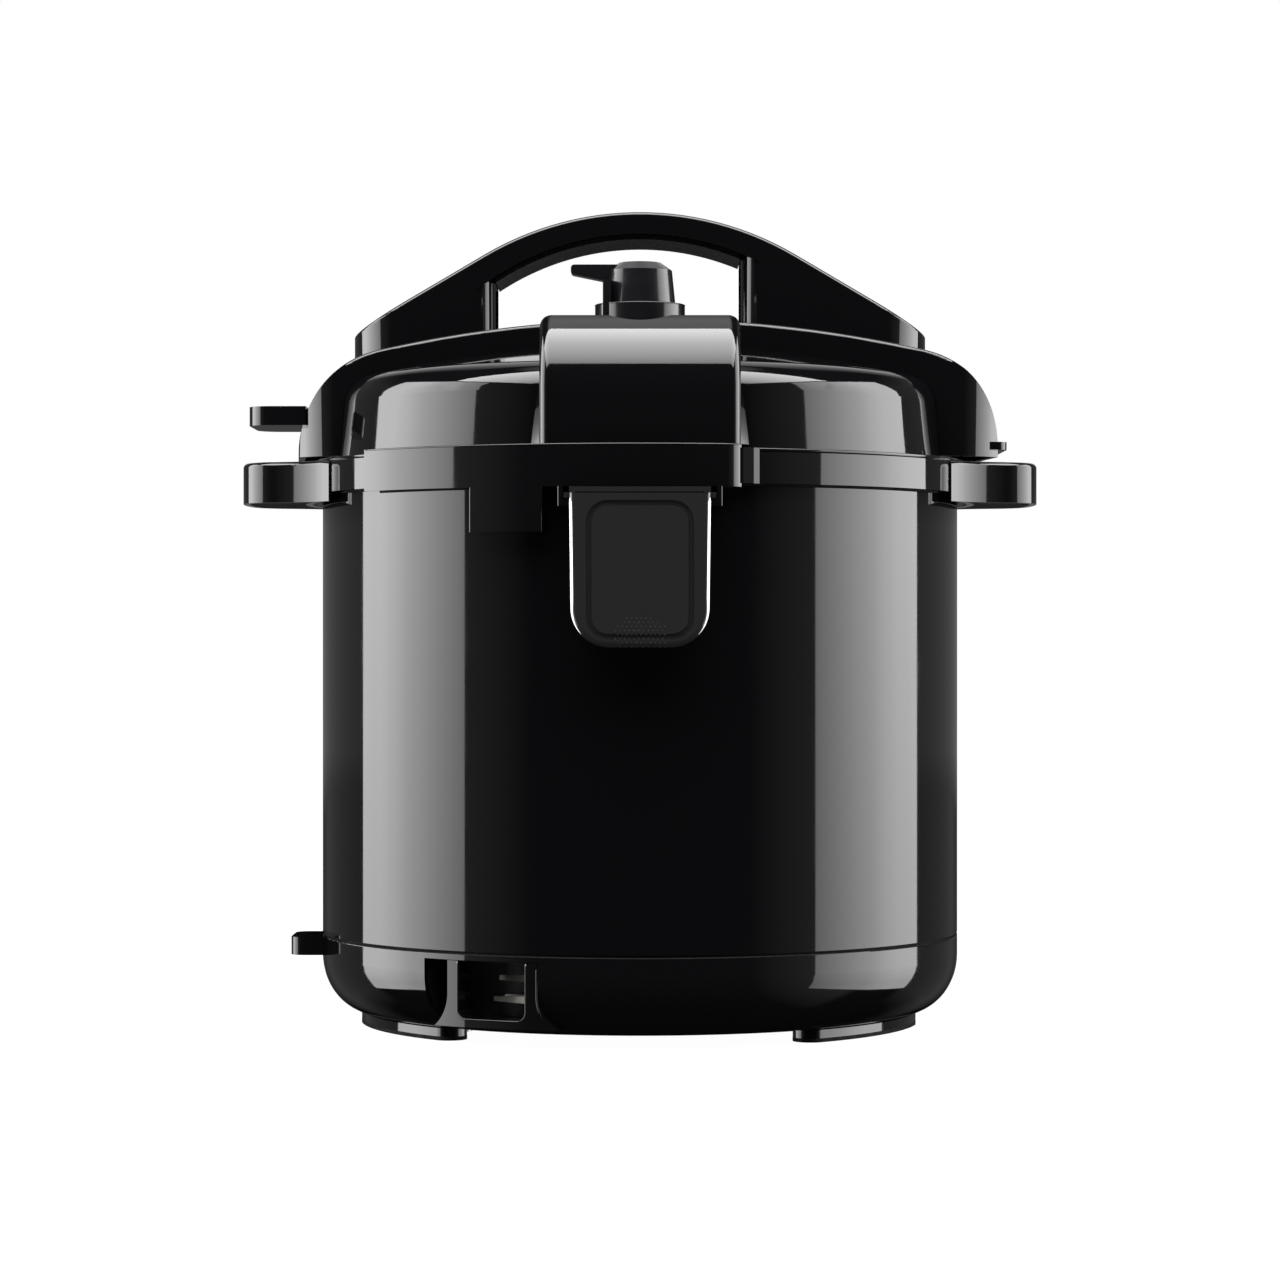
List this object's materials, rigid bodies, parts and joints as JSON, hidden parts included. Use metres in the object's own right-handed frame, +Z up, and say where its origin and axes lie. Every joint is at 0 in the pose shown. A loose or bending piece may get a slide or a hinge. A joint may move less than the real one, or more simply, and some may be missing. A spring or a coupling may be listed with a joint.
{
  "type": "electric pressure cooker",
  "caption": "Round electric pressure cooker with a domed bayonet lid, arched lid handle, steam release valve, rear condensation cup, mains inlet and front control panel.",
  "frame": {"origin": "on the axis of the body, in the plane of the surface that the feet stand on", "axes": "+Z up along the body axis, +Y towards the control panel at the front, +X towards the right handle as seen from the back"},
  "size_m": [0.3368, 0.2996, 0.3419],
  "materials": {
    "black_gloss_plastic": "high-gloss black moulded plastic",
    "black_steel": "black gloss finish on sheet steel",
    "stainless_steel": "brushed stainless steel",
    "cast_aluminium": "plain cast aluminium",
    "smoke_clear_plastic": "clear plastic with a smoke tint",
    "silicone": "translucent silicone",
    "black_matte_plastic": "fine-textured black plastic",
    "grey_key_plastic": "satin dark grey plastic",
    "display_glass": "dark glossy display pane",
    "circuit_board": "green circuit board",
    "zinc_steel": "zinc-plated steel",
    "brass": "nickel-free plain brass"
  },
  "bodies": {
    "base": {"base_ring": "black_gloss_plastic", "inlet_frame": "black_gloss_plastic", "inlet_tray": "black_matte_plastic", "inlet_socket": "black_matte_plastic", "inlet_pins": "zinc_steel", "feet": "black_gloss_plastic", "bottom_plate": "zinc_steel", "base_screws": "zinc_steel", "power_board": "circuit_board", "housing_sleeve": "black_steel", "rim_ring": "black_gloss_plastic", "right_handle": "black_gloss_plastic", "left_handle": "black_gloss_plastic", "rear_rim_cover": "black_gloss_plastic", "lid_switch": "black_matte_plastic", "cup_rails": "black_gloss_plastic", "outer_pot": "stainless_steel", "inner_pot": "stainless_steel", "heating_plate": "cast_aluminium", "heater_posts": "zinc_steel", "sensor_bracket": "zinc_steel", "sensor_spring": "zinc_steel", "pressure_switch": "black_matte_plastic", "control_panel": "black_gloss_plastic", "display_window": "display_glass", "control_board": "circuit_board"},
    "lid": {"lid_shell": "black_steel", "inner_lid": "stainless_steel", "ring_rack": "zinc_steel", "lid_crown": "black_gloss_plastic", "rear_tongue": "black_gloss_plastic", "lid_handle": "black_gloss_plastic", "handle_pad": "black_gloss_plastic", "crown_screws": "zinc_steel", "steam_pipe": "brass", "anti_block_shield": "stainless_steel", "float_guide": "brass"},
    "sealing_ring": {"sealing_ring": "silicone"},
    "condensation_cup": {"condensation_cup": "smoke_clear_plastic"},
    "temperature_sensor": {"temperature_sensor": "cast_aluminium"},
    "steam_valve": {"steam_valve": "black_gloss_plastic"},
    "float_valve": {"float_valve": "zinc_steel", "float_seal": "silicone"},
    "menu_key": {"menu_key": "grey_key_plastic"},
    "pressure_key": {"pressure_key": "grey_key_plastic"},
    "timer_key": {"timer_key": "grey_key_plastic"},
    "cancel_key": {"cancel_key": "grey_key_plastic"},
    "less_key": {"less_key": "grey_key_plastic"},
    "more_key": {"more_key": "grey_key_plastic"}
  },
  "joints": [
    {"name": "lid_lift", "type": "slide", "parent": "base", "child": "sealing_ring", "axis": [0, 0, 1], "range_m": [0, 0.15]},
    {"name": "lid_turn", "type": "hinge", "parent": "sealing_ring", "child": "lid", "pos_m": [0, 0, 0.24], "axis": [0, 0, 1], "range_deg": [0, 30]},
    {"name": "steam_valve_turn", "type": "hinge", "parent": "lid", "child": "steam_valve", "pos_m": [0, -0.09, 0.3], "axis": [0, 0, 1], "range_deg": [-40, 40]},
    {"name": "float_rise", "type": "slide", "parent": "lid", "child": "float_valve", "axis": [0, 0, 1], "range_m": [0, 0.006]},
    {"name": "cup_pull", "type": "slide", "parent": "base", "child": "condensation_cup", "axis": [0, -1, 0], "range_m": [0, 0.06]},
    {"name": "sensor_press", "type": "slide", "parent": "base", "child": "temperature_sensor", "axis": [0, 0, 1], "range_m": [-0.002, 0], "stiffness_N_per_m": 500, "springref_m": 0.002},
    {"name": "menu_key_press", "type": "slide", "parent": "base", "child": "menu_key", "axis": [0, -1, 0], "range_m": [0, 0.0008], "stiffness_N_per_m": 800, "springref_m": -0.0006},
    {"name": "pressure_key_press", "type": "slide", "parent": "base", "child": "pressure_key", "axis": [0, -1, 0], "range_m": [0, 0.0008], "stiffness_N_per_m": 800, "springref_m": -0.0006},
    {"name": "timer_key_press", "type": "slide", "parent": "base", "child": "timer_key", "axis": [0, -1, 0], "range_m": [0, 0.0008], "stiffness_N_per_m": 800, "springref_m": -0.0006},
    {"name": "cancel_key_press", "type": "slide", "parent": "base", "child": "cancel_key", "axis": [0, -1, 0], "range_m": [0, 0.0008], "stiffness_N_per_m": 800, "springref_m": -0.0006},
    {"name": "less_key_press", "type": "slide", "parent": "base", "child": "less_key", "axis": [0, -1, 0], "range_m": [0, 0.0008], "stiffness_N_per_m": 800, "springref_m": -0.0006},
    {"name": "more_key_press", "type": "slide", "parent": "base", "child": "more_key", "axis": [0, -1, 0], "range_m": [0, 0.0008], "stiffness_N_per_m": 800, "springref_m": -0.0006}
  ]
}
